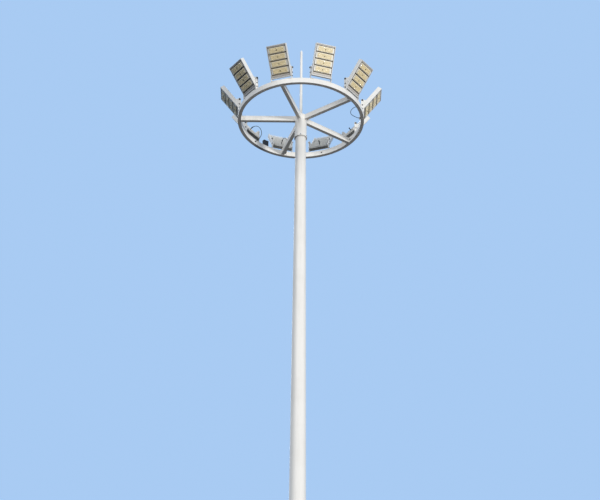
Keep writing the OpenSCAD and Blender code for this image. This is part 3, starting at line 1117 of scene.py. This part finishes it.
def ribbed_cap(r, low, high):
    outline = [(r, low), (r, high - GLAND_CAP_EDGE), (r * GLAND_CAP_TOP, high)]
    points, faces = lathe(outline, POINTS_A_RIB * GLAND_RIBS)
    ribbed = []
    for i, (x, y, z) in enumerate(points):
        share = GROOVE if i % POINTS_A_RIB < 2 else 1.0
        ribbed.append((x * share, y * share, z))
    return ribbed, faces


gland_cap = ribbed_cap(GLAND_CAP_R, GLAND_CAP_LOW, GLAND_END - GLAND_WALL)
gland = stack(lathe(GLAND_HEX, HEX_SIDES), gland_cap)
gland_place = facing(CABLE_X, GLAND_WALL, -CABLE_DROP, INWARD)
shape = stamp((at @ gland_place, gland) for at in upright_at.values())
glands = make_piece("cable_glands", shape, black_plastic, TOWER)
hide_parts("ring_glands")
print("glands:", len(upright_at))

# %% [markdown]
# ## The junction box
# A black box with a screwed lid stands on the ring between two floodlights. Its place and height come from
# the plain solid that it replaces, and it is turned to face away from the mast.

# %% Junction box
BOX_W = 0.100
BOX_DEEP = 0.056
BOX_CORNER = 0.006
LID_H = 0.014
LID_OUT = 0.003
LID_CORNER = 0.008
LID_SCREW_X = 0.9
LID_SCREW_Y = 0.85
box_low, box_high = (Vector(corner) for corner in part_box("junction_box"))
box_middle = (box_low + box_high) / 2
box_away = Vector((box_middle.x, box_middle.y, 0)).normalized()
box_h = box_high.z - box_low.z
box_at = Matrix((UP.cross(box_away), -box_away, UP)).transposed().to_4x4()
box_at.translation = (box_middle.x, box_middle.y, box_low.z)
lid_at = box_at @ Matrix.Translation((0, 0, box_h - LID_H))
case = rounded_plate(BOX_W, BOX_DEEP, box_h - LID_H, BOX_CORNER)
lid = rounded_plate(BOX_W + 2 * LID_OUT, BOX_DEEP + 2 * LID_OUT, LID_H, LID_CORNER)
shape = stamp([(box_at, case), (lid_at, lid)])
junction = make_piece("junction_case", shape, black_plastic, TOWER)
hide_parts("junction_box")

lid_spots = []
for x in (-BOX_W / 2, BOX_W / 2):
    for y in (-BOX_DEEP / 2, BOX_DEEP / 2):
        lid_spots.append(lid_at @ Matrix.Translation((LID_SCREW_X * x, LID_SCREW_Y * y, LID_H)))
shape = stamp((spot, small_screw) for spot in lid_spots)
make_piece("lid_screws", shape, zinc, TOWER)
print("junction box", round(box_h, 3), "m high with", len(lid_spots), "screws")

# %% [markdown]
# ## Welds
# The steelwork is welded, and a weld is a thin rippled bead in the corner between two plates. It could be
# a bump in the paint, but then it would vanish from the model's outline. So a bead is a real tube along a
# path: its cross-section is carried from point to point without twist, and every second ring is thinner.

# %% Bead tool
BEAD_SIDES = 6
BEAD_STEP = 0.007
BEAD_RIPPLE = 0.8


def bead(path, radius, closed):
    points = []
    side = None
    for i, point in enumerate(path):
        before = path[i - 1] if closed or i else point
        after = path[(i + 1) % len(path)] if closed or i + 1 < len(path) else point
        along = (after - before).normalized()
        side = along.orthogonal() if side is None else side - along * side.dot(along)
        side.normalize()
        other = along.cross(side)
        r = radius if i % 2 else BEAD_RIPPLE * radius
        points += [point + side * x + other * y for x, y in circle(r, BEAD_SIDES)]
    return points, ring_faces(len(path), BEAD_SIDES, closed)


def between_points(start, end, step=BEAD_STEP):
    count = max(2, round((end - start).length / step))
    return [start.lerp(end, i / count) for i in range(count + 1)]


def around(corners):
    path = []
    for i, corner in enumerate(corners):
        path += between_points(Vector(corner), Vector(corners[(i + 1) % len(corners)]))[:-1]
    return path


def make_welds(name, beads):
    make_piece(name, stack(*beads), white_paint, TOWER, sharp=60)
    print(name, "has", len(beads), "beads")


print("a bead has a ring every", BEAD_STEP, "m")

# %% [markdown]
# A spoke is welded all round at both ends, to the hub's sleeve and to the ring. The outline of its tube is
# laid on the round wall there. The ring is made of bent lengths, and a flat seam joins them between the
# spokes.

# %% Welds of the spokes and the ring
TUBE_W = 0.060
TUBE_H = 0.100
SLEEVE_R = 0.104
SPOKE_BEAD = 0.004
RING_BEAD = 0.002
RING_SEAM_TURN = math.radians(54)
CORNERS = ((1, 1), (-1, 1), (-1, -1), (1, -1))
ring_low, ring_high = (Vector(corner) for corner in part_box("lamp_ring"))
ring_r = ring_high.x - TUBE_W / 2
ring_middle_z = (ring_low.z + ring_high.z) / 2
tube_outline = around([(sx * TUBE_W / 2, sz * TUBE_H / 2, 0) for sx, sz in CORNERS])
spoke_ways = []
for name in sorted(name for name in nodes if name.startswith("spoke_")):
    low, high = (Vector(corner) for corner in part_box(name))
    spoke_ways.append(Vector((low.x + high.x, low.y + high.y, 0)).normalized())

spoke_beads = []
seam_beads = []
for way in spoke_ways:
    for wall_r in (SLEEVE_R, ring_r - TUBE_W / 2):
        path = []
        for t, z, _ in tube_outline:
            out = math.sqrt(wall_r**2 - t**2)
            path.append(way * out + UP.cross(way) * t + UP * (ring_middle_z + z))
        spoke_beads.append(bead(path, SPOKE_BEAD, closed=True))
    turned = Matrix.Rotation(RING_SEAM_TURN, 3, "Z") @ way
    path = [turned * (ring_r + t) + UP * (ring_middle_z + z) for t, z, _ in tube_outline]
    seam_beads.append(bead(path, RING_BEAD, closed=True))
make_welds("spoke_welds", spoke_beads)
make_welds("ring_seams", seam_beads)

# %% [markdown]
# The mast is rolled from plate, so one seam runs down its back. Each section is a cone, and its radius at
# any height follows from the frame: from the widths of both sections at their feet and the wall between
# them.

# %% Welds of the mast
LOWER_IN = 0.0065
MAST_BEAD = 0.0025
SEAM_AZIMUTH = math.radians(160)
SEAM_STEP = 0.012
SEAM_END = 0.02
upper_low, upper_high = (Vector(corner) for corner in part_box("mast_upper"))
lower_low, lower_high = (Vector(corner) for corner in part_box("mast_lower"))
slip_z = upper_low.z
growth = (lower_high.x + LOWER_IN - upper_high.x) / (slip_z - lower_low.z)


def mast_r(z):
    r = upper_high.x + growth * (slip_z - z)
    return r if z > slip_z else r - LOWER_IN


def seam_point(z):
    r = mast_r(z)
    return Vector((r * math.sin(SEAM_AZIMUTH), -r * math.cos(SEAM_AZIMUTH), z))


flange_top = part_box("base_flange")[1][2]
hub_low_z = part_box("hub_sleeve")[0][2]
mast_beads = []
for low, high in ((flange_top, slip_z), (slip_z, hub_low_z)):
    path = between_points(seam_point(low + SEAM_END), seam_point(high - SEAM_END), SEAM_STEP)
    mast_beads.append(bead(path, MAST_BEAD, closed=False))
make_welds("mast_seams", mast_beads)
print("mast radius at the foot and the hub:", [round(mast_r(z), 4) for z in (flange_top, hub_low_z)])

# %% [markdown]
# At the foot a thick bead joins the mast to the flange, and each rib has two beads on either side, one
# along the flange and one up the mast.

# %% Welds of the base
RIBS = 12
RIB_T = 0.012
RIB_H = 0.230
RIB_END = 0.316
FOOT_BEAD = 0.005
RIB_BEAD = 0.004
foot_r = mast_r(flange_top)
foot_steps = round(2 * math.pi * foot_r / BEAD_STEP)
foot_path = [Vector((x, y, flange_top)) for x, y in circle(foot_r, foot_steps)]
base_beads = [bead(foot_path, FOOT_BEAD, closed=True)]
for i in range(RIBS):
    turn = Matrix.Rotation(2 * math.pi * i / RIBS, 3, "Z")
    for y in (-RIB_T / 2, RIB_T / 2):
        corner = turn @ Vector((foot_r, y, flange_top))
        toe = turn @ Vector((RIB_END, y, flange_top))
        top = turn @ Vector((mast_r(flange_top + RIB_H), y, flange_top + RIB_H))
        base_beads.append(bead(between_points(corner, toe), RIB_BEAD, closed=False))
        base_beads.append(bead(between_points(corner, top), RIB_BEAD, closed=False))
make_welds("base_welds", base_beads)

# %% [markdown]
# ## The service door
# The door lies in a welded frame with round ends. The weld follows the frame's outline on the round mast,
# so each point of the outline is pushed back onto the cone.

# %% Door weld
DOOR_BEAD = 0.003
frame_low, frame_high = (Vector(corner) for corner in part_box("door_frame"))
door_low, door_high = (Vector(corner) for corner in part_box("service_door"))
door_z = (door_low.z + door_high.z) / 2
half_w = frame_high.x
straight = (frame_high.z - frame_low.z) / 2 - half_w
arc_steps = round(math.pi * half_w / BEAD_STEP)
door_outline = []
for sign in (1, -1):
    for i in range(arc_steps + 1):
        angle = math.pi * i / arc_steps
        x = sign * half_w * math.cos(angle)
        z = door_z + sign * (straight + half_w * math.sin(angle))
        door_outline.append((x, z, 0))
door_path = [Vector((x, -math.sqrt(mast_r(z) ** 2 - x**2), z)) for x, z, _ in around(door_outline)]
make_welds("door_welds", [bead(door_path, DOOR_BEAD, closed=True)])

# %% [markdown]
# Two locks hold the door. The lathe turns the rim and, with three sides, the key.

# %% Door locks
LOCK_UP = 0.170
LOCK_RIM = [(0.014, 0), (0.014, 0.0015), (0.012, 0.003)]
LOCK_KEY = [(0.008, 0.0025), (0.0075, 0.007)]
lock = stack(lathe(LOCK_RIM, sides=32), lathe(LOCK_KEY, sides=3))
shape = stamp((facing(0, door_low.y, door_z + side * LOCK_UP, OUTWARD), lock) for side in (-1, 1))
make_piece("door_locks", shape, zinc, TOWER)
print("door:", round(door_high.z - door_low.z, 3), "m high with two locks")

# %% [markdown]
# ## Bolts of the hub
# Set bolts in the collar clamp the hub on the mast, bolts hold the head cap down and three screws hold the
# lightning rod in its socket. Each circle of bolts is one loop with a radius, a height and a direction.

# %% Hub bolts
COLLAR_H = 0.044
COLLAR_BOLTS = 6
CAP_T = 0.010
CAP_BOLT_R = 0.080
CAP_BOLTS = 6
SOCKET_R = 0.0363
SOCKET_BOLTS = 3
collar_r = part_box("hub_sleeve")[1][0]
cap_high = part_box("head_cap")[1][2]
cap_top = ring_high.z + CAP_T


def bolt_circle(count, r, z, shape, upwards):
    spots = []
    for i in range(count):
        angle = 2 * math.pi * (i + 0.5) / count
        way = Vector((math.cos(angle), math.sin(angle), 0))
        spots.append((facing(way.x * r, way.y * r, z, UP if upwards else way), shape))
    return spots


set_bolt = hex_bolt(flats=0.017, height=0.011)
cap_bolt = hex_bolt(flats=0.013, height=0.008)
collar_z = hub_low_z + COLLAR_H / 2
socket_z = (cap_top + cap_high) / 2
hub_bolts = bolt_circle(COLLAR_BOLTS, collar_r - SEAT, collar_z, set_bolt, upwards=False)
hub_bolts += bolt_circle(CAP_BOLTS, CAP_BOLT_R, cap_top, cap_bolt, upwards=True)
hub_bolts += bolt_circle(SOCKET_BOLTS, SOCKET_R - SEAT, socket_z, cap_bolt, upwards=False)
make_piece("hub_bolts", stamp(hub_bolts), zinc, TOWER)
print("hub:", len(hub_bolts), "bolts")
